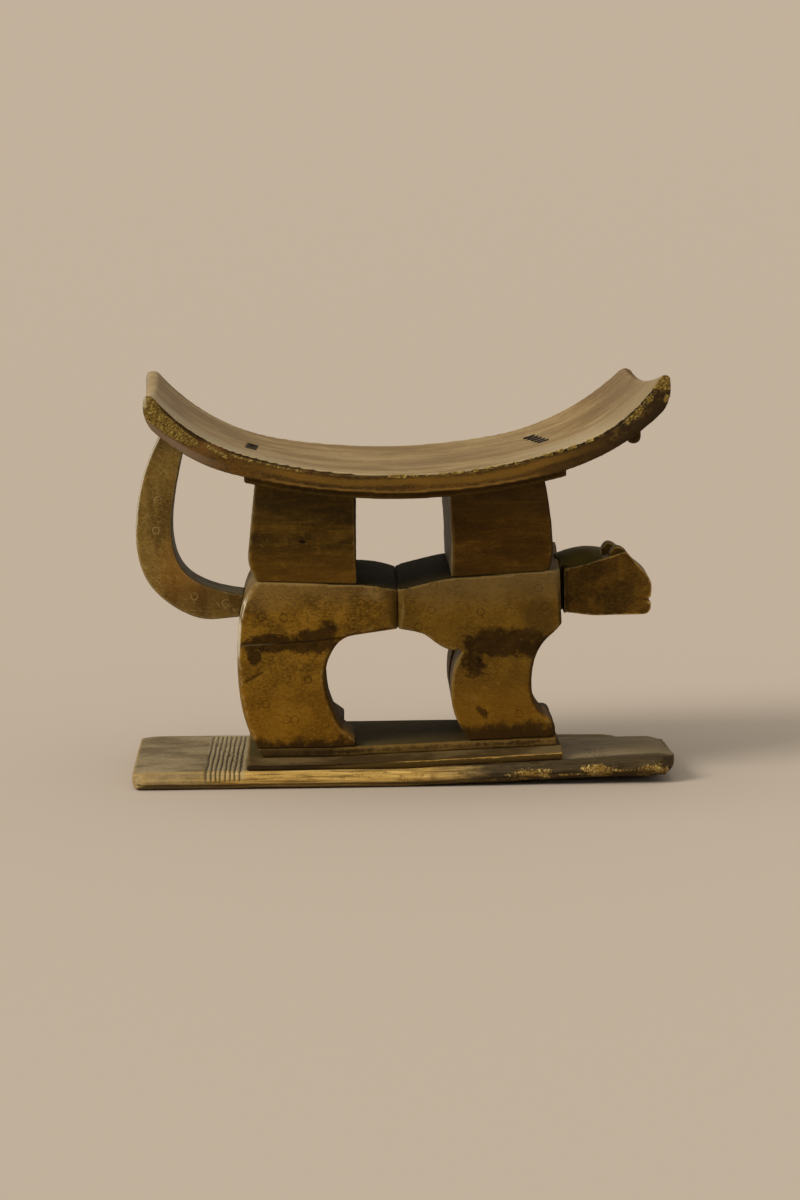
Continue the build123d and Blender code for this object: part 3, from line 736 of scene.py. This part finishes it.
stepTones = {
    "deep": tint(58, 42, 18), "mid": tint(86, 64, 30), "light": tint(110, 84, 42),
    "dirt": tint(26, 19, 9), "rubAndGlint": tint(156, 122, 62),
    "topAtTail": tint(78, 68, 34), "topAtHead": tint(58, 50, 24), "slope": tint(72, 56, 32),
    "slopePale": tint(108, 90, 58), "golden": tint(196, 152, 72), "foot": tint(34, 23, 10),
    "riser": tint(40, 28, 13),
}
stepLook = {
    "seed": 103.0, "blotch": (80, 30, 30), "rough": 0.55, "lean": 0.0, "bump": 0.4, "gloss": 0.03,
    "bright": 0.7, "grain": 0.55, "fleck": 0.4, "rubAndGlint": 0.3, "mark": 0.6,
}


def stepWood():
    surface = Surface("stepWood")
    coat = Coat(surface, stepTones, stepLook)
    cloud, blotch = coat.cloud, coat.blotch
    x, aside = surface.x, abs(surface.y)
    # dark top, greyed slope, painted shade on the foot under a rim that is rubbed golden but for the tail
    # end
    top = rise(surface.faceZ, 0.9, 0.98) * (1 - rise(aside, 84, 90))
    topTone = coat.blend(rise(x + (blotch - 0.5) * 80, -60, 60), "topAtTail", "topAtHead")
    coat.cover(top * 0.75, topTone)
    slope = rise(aside, 87, 90) * rise(surface.faceZ, 0.2, 0.5)
    greyed = coat.blend(rise(blotch, 0.4, 0.6), "slope", "slopePale")
    coat.cover(slope * 0.7, greyed)
    golden = rise(surface.painted("edge") + (cloud - 0.5) * 1.2, 0.3, 0.8) * rise(aside, 104, 108)
    coat.cover(golden * rise(x + (blotch - 0.5) * 60, -110, -60) * 0.9, "golden")
    # painted shade on the undercut foot under the rim
    foot = rise(aside + (cloud - 0.5) * 4 - rise(x, -80, 20) * 4, 103.5, 105.5)
    coat.cover(foot * 0.9, "foot")
    riser = rise(abs(surface.faceY), 0.5, 0.8) * (1 - rise(aside, 94, 98))
    coat.cover(riser * (1 - rise(x + (cloud - 0.5) * 50, -80, -50)) * 0.75, "riser")
    coat.roughness += top * 0.15
    return surface.finish(coat)


seatBoard = {
    "voxel": 2.4, "softening": 3, "adze": 0.2, "fuzzDepth": 0.8, "crackDepth": 1.6, "crackWidth": 0.55,
    # x and z along the near top edge
    "nearTop": [
        (-280, 446), (-260, 422.4), (-240, 399.1), (-220, 381.9), (-200, 368.9), (-180, 359.1), (-160, 352),
        (-120, 341.8), (-80, 334.7), (0, 329), (80, 334.7), (120, 341.8), (160, 352), (180, 358.3),
        (200, 366.2), (220, 377.6), (240, 393.6), (260, 416.4), (280, 440),
    ],
    # drying cracks along the sitting face: middle x, half length, y, how much each wanders, and its slope
    "cracks": [(-60, 78, -62, 1.0, 0.05), (14, 52, -96, -0.7, 0.0)],
    # ladders of slots: the first slot, the way to the next, and how many
    "ladders": [((-154, 38), (-0.6, -15), 4), ((141, 72), (3, -16), 5)],
    "slotHalf": (5, 6.2),  # half a slot, with the painted shade that reaches past it along Y
    "ladderMiddle": (5, 24), "ladderHalf": (18, 72),  # where the mesh is finer, x from the first slot
}


def seatCracks(points):
    # distance from the nearer crack
    x, y = points[:, 0], points[:, 1]
    wander = 2.2 * np.sin(x / 23) + 1.2 * np.sin(x / 7.3)
    away = np.full(len(points), 999.0)
    for middleX, half, middleY, waver, slope in seatBoard["cracks"]:
        past = np.maximum(np.abs(x - middleX) - half, 0)
        away = np.minimum(away, np.hypot(past, y - middleY - waver * wander - slope * x))
    return away


def seatDrop(points):
    # how far below the near top edge a point lies, square to the edge
    acrossX, edgeZ = np.array(seatBoard["nearTop"]).T
    slope = np.interp(points[:, 0], acrossX, np.gradient(edgeZ, acrossX))
    return (np.interp(points[:, 0], acrossX, edgeZ) - points[:, 2]) / np.hypot(1, slope)


def inSlots(points):
    # 1 in a slot and on its rim
    halfX, halfY = seatBoard["slotHalf"]
    inside = np.zeros(len(points))
    for (x, y), (stepX, stepY), count in seatBoard["ladders"]:
        for number in range(count):
            along = np.abs(points[:, 0] - x - number * stepX) - halfX
            across = np.abs(points[:, 1] - y - number * stepY) - halfY
            inside = np.maximum(inside, 1 - ramp(np.maximum(along, across), 0.3, 1.4))
    return inside


def nearSlots(points, normals):
    (middleX, middleY), (halfX, halfY) = seatBoard["ladderMiddle"], seatBoard["ladderHalf"]
    wanted = np.zeros(len(points), bool)
    for (x, _), _, _ in seatBoard["ladders"]:
        wanted |= np.abs(points[:, 0] - x - middleX) < halfX
    return wanted & (np.abs(points[:, 1] - middleY) < halfY)


def nearSeatCracks(points, normals):
    return (seatCracks(points) < 2.2) & (normals[:, 2] > 0.5)


def onSeatEnds(points, normals):
    # the near side of both ends, where the wood is rubbed to fibres
    return (normals[:, 1] < -0.3) & (points[:, 1] < -100) & (np.abs(points[:, 0]) > 140)


def makeSeat():
    piece = carveBlank("seatBoard", ["seat"], seatBoard["voxel"], seatBoard["softening"])
    refine(piece, onSeatEnds, 1)
    refine(piece, nearSeatCracks, 2)
    refine(piece, nearSlots, 1)
    before = meshPoints(piece.data)[0]

    def depth(points, normals):
        cut = adzeCuts(points, (46, 24, 24), seatBoard["adze"], 3) * ramp(-normals[:, 2], -0.2, 0.6)
        cut += 0.3 * softNoise(points, 60, 4)
        crack = np.exp(-(seatCracks(points) / seatBoard["crackWidth"]) ** 2)
        cut -= seatBoard["crackDepth"] * crack * ramp(normals[:, 2], 0.4, 0.8)
        drop = seatDrop(points)
        tailEnd = ramp(-points[:, 0], 190, 208) * ramp(drop, 1, 4) * (1 - ramp(drop, 13, 17))
        headEnd = ramp(points[:, 0], 218, 230) * ramp(drop, 0, 2) * (1 - ramp(drop, 8, 11))
        bare = ramp(-normals[:, 1], 0.3, 0.8) * np.maximum(tailEnd, 0.7 * headEnd)
        rough = softNoise(points, 3.2, 5) + 0.7 * softNoise(points, 1.6, 6) - 0.6
        return cut + bare * seatBoard["fuzzDepth"] * rough

    carve(piece, depth)
    paint(piece, "drop", seatDrop(before))
    paint(piece, "mark", inSlots(before))
    finishPiece(piece, ["seat"], seatWood())


railAndLug = {"voxel": 1.8, "softening": 1, "adze": 0.2}


def makeRailAndLug(wood):
    for pieceName, member in (("railUnderSeat", "seat_rail"), ("lugUnderSeat", "seat_lug")):
        piece = carveBlank(pieceName, [member], railAndLug["voxel"], railAndLug["softening"])
        carve(piece, lambda points, normals: adzeCuts(points, (30, 16, 16), railAndLug["adze"], 8))
        finishPiece(piece, [member], wood)


blocks = {"voxel": 1.5, "softening": 1, "adze": 0.22, "waves": 0.22}


def makeBlocks(wood):
    for pieceName, member in (("blockOnRump", "rear_block"), ("blockOnShoulders", "front_block")):
        piece = carveBlank(pieceName, [member], blocks["voxel"], blocks["softening"])

        def depth(points, normals):
            cut = adzeCuts(points, (44, 22, 15), blocks["adze"], 12)
            return cut + blocks["waves"] * softNoise(points, (60, 12, 7), 13)

        carve(piece, depth)
        finishPiece(piece, [member], wood)


# punched circles on both flanks: x, z and radius
rumpMarks = [
    (-152.5, 82.5, 3.8), (-142, 84.5, 3.8), (-120.7, 67.5, 4.2), (-112.3, 67.3, 4.2), (-80.3, 61.7, 3.7),
    (-144.9, 177.7, 4.2), (-122, 176.3, 4.2), (-98, 110, 3.6), (-24.2, 206.3, 3.8),
]
chestMarks = [
    (5.9, 201.7, 4.4), (33.9, 207.6, 3.8), (57.8, 209.3, 3.8), (31.5, 182.5, 3.8), (17.7, 165, 3.9),
    (82.2, 179.7, 3.7), (142.7, 204, 3.8), (148.6, 184, 4.0), (59.3, 106.8, 3.9), (87.3, 109.6, 3.8),
    (122, 70.4, 3.9),
]
body = {
    "voxel": 1.58, "softening": 1, "adze": 0.15, "ringDepth": 0.4,
    "gougeStart": (-162.5, 108.9), "gougeWay": (16.7, 9.2), "gougeDepth": 0.9, "gougeWidth": 1.6,
    "checkMiddle": -116, "checkHalf": 54, "checkDepth": 0.5, "checkWidth": 0.9,
    "nailHoles": [(88.9, 70.8), (80.4, 127.4)], "nailDepth": 1.6, "nailWidth": 1.3,
}


def bodySurface(points, normals, marks, seed):
    cut = adzeCuts(points, (26, 20, 20), body["adze"], seed)
    cut += 0.3 * softNoise(points, 45, seed + 1) + 0.1 * softNoise(points, 4, seed + 2)
    for side in (nearSide, farSide):
        cut -= body["ringDepth"] * ringLines(points, normals, marks, side)
    return cut


def makeBodyHalf(pieceName, members, marks, seed, wood, extraCut):
    piece = carveBlank(pieceName, members, body["voxel"], body["softening"])
    for side in (nearSide, farSide):
        refine(piece, lambda points, normals: nearMarks(points, normals, marks, side), 1)
    refine(piece, lambda points, normals: nearMarks(points, normals, marks, nearSide), 1)
    before, facing = meshPoints(piece.data)
    lines = [ringLines(before, facing, marks, side) for side in (nearSide, farSide)]

    def depth(points, normals):
        return bodySurface(points, normals, marks, seed) + extraCut(points, normals)

    carve(piece, depth)
    cuts = 0.8 * ramp(-extraCut(before, facing), 0.1, 0.6)
    paint(piece, "mark", np.maximum(np.maximum(*lines), cuts))
    finishPiece(piece, members, wood)


def rumpCuts(points, normals):
    # a gouge low on the near side of the rump and the check above it
    (startX, startZ), (wayX, wayZ) = body["gougeStart"], body["gougeWay"]
    x, z = points[:, 0], points[:, 2]
    along = np.clip(((x - startX) * wayX + (z - startZ) * wayZ) / (wayX ** 2 + wayZ ** 2), 0, 1)
    gouge = np.hypot(x - startX - wayX * along, z - startZ - wayZ * along)
    check = np.abs(z - rumpCheck["z"] - rumpCheck["slope"] * (x - rumpCheck["x"]))
    check += 5 * np.maximum(np.abs(x - body["checkMiddle"]) - body["checkHalf"], 0)
    cut = body["gougeDepth"] * np.exp(-(gouge / body["gougeWidth"]) ** 2)
    cut += body["checkDepth"] * np.exp(-(check / body["checkWidth"]) ** 2)
    return -cut * ramp(-normals[:, 1], 0.4, 0.8)


def chestCuts(points, normals):
    # two old nail holes in the right foreleg
    away = np.minimum(*[np.hypot(points[:, 0] - x, points[:, 2] - z) for x, z in body["nailHoles"]])
    cut = body["nailDepth"] * np.exp(-(away / body["nailWidth"]) ** 2)
    return -cut * ramp(-normals[:, 1], 0.4, 0.8)


def makeBody():
    wood = bodyWood()
    rear = ["hindquarters", "hind_leg_right", "hind_leg_left"]
    makeBodyHalf("rumpAndHindLegs", rear, rumpMarks, 31, wood, rumpCuts)
    fore = ["forequarters", "foreleg_right", "foreleg_left"]
    makeBodyHalf("chestAndForelegs", fore, chestMarks, 41, wood, chestCuts)


headAndEars = {
    "voxel": 1.1, "softening": 2, "adze": 0.2,
    "mouthAt": (264, 182), "mouthSlope": 0.03, "mouthDepth": 1.2, "mouthWidth": 1.3,
    "throatEnd": 174, "throatFill": 3.0,  # the throat stands nearly flush with the jaw
}


def makeHead():
    members = ["neck", "head", "ear_right", "ear_left"]
    piece = carveBlank("leopardHead", members, headAndEars["voxel"], headAndEars["softening"])

    def depth(points, normals):
        x, z = points[:, 0], points[:, 2]
        cut = adzeCuts(points, (16, 12, 12), headAndEars["adze"], 51)
        cut += 0.15 * softNoise(points, 14, 52)
        downward = ramp(-normals[:, 2], 0.5, 0.9)
        cut += headAndEars["throatFill"] * downward * ramp(headAndEars["throatEnd"] - x, 0, 4)
        mouthX, mouthZ = headAndEars["mouthAt"]
        away = z - mouthZ - headAndEars["mouthSlope"] * (mouthX - x)
        mouth = np.exp(-(away / headAndEars["mouthWidth"]) ** 2) * ramp(x, 246, 258)
        outward = ramp(np.abs(normals[:, 1]) + normals[:, 0], 0.3, 0.7)
        return cut - headAndEars["mouthDepth"] * mouth * outward

    carve(piece, depth)
    finishPiece(piece, members, headWood())


# punched circles, as on the body
tailMarks = [(-253.9, 292.6, 3.9), (-256.6, 261, 3.4), (-217.5, 190.5, 3.6), (-184.6, 182.8, 3.8)]
tailStrap = {"voxel": 1.3, "softening": 1, "adze": 0.2, "ringDepth": 0.4}


def makeTail():
    piece = carveBlank("tailStrap", ["tail"], tailStrap["voxel"], tailStrap["softening"])
    for side in (nearSide, farSide):
        refine(piece, lambda points, normals: nearMarks(points, normals, tailMarks, side), 1)
    before, facing = meshPoints(piece.data)
    lines = np.maximum(*[ringLines(before, facing, tailMarks, side) for side in (nearSide, farSide)])

    def depth(points, normals):
        cut = adzeCuts(points, (24, 18, 18), tailStrap["adze"], 61)
        return cut + 0.12 * softNoise(points, 5, 62) - tailStrap["ringDepth"] * lines

    carve(piece, depth)
    paint(piece, "mark", lines)
    finishPiece(piece, ["tail"], tailWood())


steps = {"voxel": 1.7, "softening": 1, "adze": 0.2, "waves": 0.35}


def makeSteps():
    wood = stepWood()
    for pieceName, member in (("upperStep", "upper_step"), ("lowerStep", "lower_step")):
        piece = carveBlank(pieceName, [member], steps["voxel"], steps["softening"])

        def depth(points, normals):
            waves = steps["waves"] * softNoise(points, (40, 10, 10), 72)
            cut = adzeCuts(points, (60, 20, 20), steps["adze"], 71)
            return cut + waves * ramp(1 - normals[:, 2], 0.1, 0.6)  # none on the flat tops

        carve(piece, depth)
        finishPiece(piece, [member], wood)


baseBoard = {
    "voxel": 2.4, "softening": 3, "adze": 0.25,
    "grooveStart": -203.5, "grooveGap": 4.95, "grooveCount": 8, "grooveDepth": 1.3, "grooveWidth": 0.85,
    "grooveEnds": (-140, 108),
    "crackMiddle": (-188, -14), "crackHalf": 20, "crackDepth": 1.6, "crackWidth": 0.9,
    "endWear": 3.2, "rimWear": 1.4, "cornerWear": 4.0, "chipDepth": 0.9,
    "halfLength": 282, "endRadius": 9, "headEndLift": 13,  # the head end is rounded from higher up
}


def baseGrooves(points):
    # tally grooves across the tail end, each with a little wander of its own
    x, y = points[:, 0], points[:, 1]
    away = np.full(len(points), 99.0)
    for number in range(baseBoard["grooveCount"]):
        middle = baseBoard["grooveStart"] + number * baseBoard["grooveGap"] + 0.012 * y
        wander = 0.3 * np.sin(y / (15 + number) + 1.7 * number) + 0.15 * np.sin(y / 4.1 + number)
        away = np.minimum(away, np.abs(x - middle - wander))
    nearEnd, farEnd = baseBoard["grooveEnds"]
    return np.maximum(away, np.maximum(nearEnd - y, y - farEnd))


def baseCrack(points):
    # distance from the crack that runs across the grooves
    x, y = points[:, 0], points[:, 1]
    middleX, middleY = baseBoard["crackMiddle"]
    path = middleY + 2.2 * np.sin(x / 11) + 1.2 * np.sin(x / 3.7)
    return np.hypot(np.maximum(np.abs(x - middleX) - baseBoard["crackHalf"], 0), y - path)


def onBaseRim(points, normals):
    # the near rim at the head end, where the wood is chipped
    return (points[:, 1] < -106) & (normals[:, 2] > -0.6) & (points[:, 0] > 60)


def nearGrooves(points, normals):
    return (baseGrooves(points) < 2.4) & (normals[:, 2] > -0.2)


def baseWear(points, normals):
    # the two ends, the near rim and its corners are worn round
    fromMiddle = np.abs(points[:, 0])
    topward = ramp(normals[:, 2], 0.1, 0.9)
    toHead = 0.5 + 0.5 * ramp(points[:, 0], 0, 50)
    worn = baseBoard["endWear"] * topward * ramp(fromMiddle, 262, 284) * toHead
    worn = np.maximum(worn, baseBoard["rimWear"] * topward * ramp(-points[:, 1], 114, 124))
    radius = baseBoard["endRadius"]
    bottom = np.where(points[:, 0] > 0, baseBoard["headEndLift"], 0)
    fromEnd = np.maximum(radius - baseBoard["halfLength"] + fromMiddle, 0)
    outside = np.hypot(fromEnd, np.maximum(radius + bottom - points[:, 2], 0)) - radius
    worn = np.maximum(worn, 1.25 * outside * (fromEnd > 0))
    corner = ramp(fromMiddle, 264, 284) * ramp(-points[:, 1], 104, 124)
    return np.maximum(worn, baseBoard["cornerWear"] * corner * ramp(normals[:, 2], -0.4, 0.2))


def makeBase():
    piece = carveBlank("baseBoard", ["base_board"], baseBoard["voxel"], baseBoard["softening"])
    refine(piece, onBaseRim, 1)
    refine(piece, nearGrooves, 2)
    before, facing = meshPoints(piece.data)
    top = ramp(facing[:, 2], -0.2, 0.3)
    fade = 1 - 0.2 * ramp(before[:, 1], -30, 90)
    groove = fade * top * np.exp(-(baseGrooves(before) / baseBoard["grooveWidth"]) ** 2)
    crack = top * np.exp(-(baseCrack(before) / baseBoard["crackWidth"]) ** 2)

    def depth(points, normals):
        cut = adzeCuts(points, (50, 26, 26), baseBoard["adze"], 81)
        cut += 0.5 * softNoise(points, 50, 82)
        cut -= baseBoard["grooveDepth"] * groove + baseBoard["crackDepth"] * crack
        chipped = ramp(-points[:, 1], 106, 116) * ramp(points[:, 0], 90, 120)
        rough = softNoise(points, (14, 5, 4), 83) + 0.5 * softNoise(points, (5, 2.5, 2), 84)
        return cut - baseWear(points, normals) + baseBoard["chipDepth"] * chipped * (rough - 0.5)

    carve(piece, depth)
    paint(piece, "mark", np.maximum(groove, crack))
    finishPiece(piece, ["base_board"], baseWood())


makeSeat()
darkBlockWood = blockWood()
makeRailAndLug(darkBlockWood)
makeBlocks(darkBlockWood)
makeBody()
makeHead()
makeTail()
makeSteps()
makeBase()


# floor and farColour are colours as they are seen, from is where a lamp stands, spread is in degrees
studio = {
    "floorSize": 4000.0, "floor": (192, 176, 156), "farColour": (192, 176, 156),
    "seenBy": ("Is Camera", "Is Glossy", "Is Transmission"),
    "sky": (1.0, 0.985, 0.96), "skyStrength": 0.4,
    "key": {"from": (-1.0, -0.6, 0.85), "spread": 26, "strength": 1.9, "colour": (1.0, 0.97, 0.93)},
    "top": {"from": (-0.25, -0.1, 1.0), "spread": 70, "strength": 0.75, "colour": (1.0, 0.985, 0.97)},
}


def makeFloor():
    half = studio["floorSize"] / 2
    mesh = bpy.data.meshes.new("studioFloor")
    corners = [(-half, -half, 0), (half, -half, 0), (half, half, 0), (-half, half, 0)]
    mesh.from_pydata(corners, [], [(0, 1, 2, 3)])
    floor = bpy.data.objects.new("studioFloor", mesh)
    scene.collection.objects.link(floor)
    surface = Surface("studioFloor")
    colour = tint(*studio["floor"])
    shader = surface.start.node("ShaderNodeBsdfPrincipled", {}, {"Base Color": colour, "Roughness": 0.85})
    surface.start.node("ShaderNodeOutputMaterial", {}, {"Surface": shader})
    mesh.materials.append(surface.material)


def addLamp(name, look):
    # a wide soft lamp far away, so that the floor is lit evenly
    lamp = bpy.data.lights.new(name, "SUN")
    lamp.angle = radians(look["spread"])
    lamp.energy = look["strength"]
    lamp.color = look["colour"]
    holder = bpy.data.objects.new(name, lamp)
    holder.rotation_euler = Vector(look["from"]).to_track_quat("Z", "Y").to_euler()
    scene.collection.objects.link(holder)


def makeSky():
    world = bpy.data.worlds.new("studioSky")
    world.use_nodes = True
    world.node_tree.nodes.clear()
    start = Wire(world.node_tree, None)
    sockets = {"Color": (*studio["sky"], 1), "Strength": studio["skyStrength"]}
    light = start.node("ShaderNodeBackground", {}, sockets)
    sockets = {"Color": tint(*studio["farColour"]), "Strength": 1.0}
    seen = start.node("ShaderNodeBackground", {}, sockets)
    paths = [start.node("ShaderNodeLightPath", {}, {}, output=kind + " Ray") for kind in studio["seenBy"]]
    straight = larger(larger(paths[0], paths[1]), paths[2])
    mixed = start.node("ShaderNodeMixShader", {}, {0: straight, 1: light, 2: seen})
    start.node("ShaderNodeOutputWorld", {}, {"Surface": mixed})
    scene.world = world


# the camera's place in metres, its angles in degrees and its lens in millimetres
view = {"place": (-0.064765, -4.62206, 0.817817), "down": 7.8593, "turn": 0.8, "roll": 0.65, "lens": 132.186}


def makeCamera():
    turn, down, roll = radians(view["turn"]), radians(view["down"]), radians(view["roll"])
    ahead = Vector((sin(turn) * cos(down), cos(turn) * cos(down), -sin(down)))
    level = Vector((cos(turn), -sin(turn), 0))
    rising = level.cross(ahead)
    right = cos(roll) * level - sin(roll) * rising
    up = sin(roll) * level + cos(roll) * rising
    lens = bpy.data.cameras.new("studioCamera")
    lens.sensor_fit = "VERTICAL"
    lens.sensor_height = 36
    lens.lens = view["lens"]
    camera = bpy.data.objects.new("studioCamera", lens)
    turned = Matrix((right, up, -ahead)).transposed().to_4x4()
    camera.matrix_world = Matrix.Translation(view["place"]) @ turned
    scene.collection.objects.link(camera)
    scene.camera = camera


makeFloor()
makeSky()
addLamp("keyLamp", studio["key"])
addLamp("topLamp", studio["top"])
makeCamera()
scene.view_settings.view_transform = "Standard"
print("studio set")
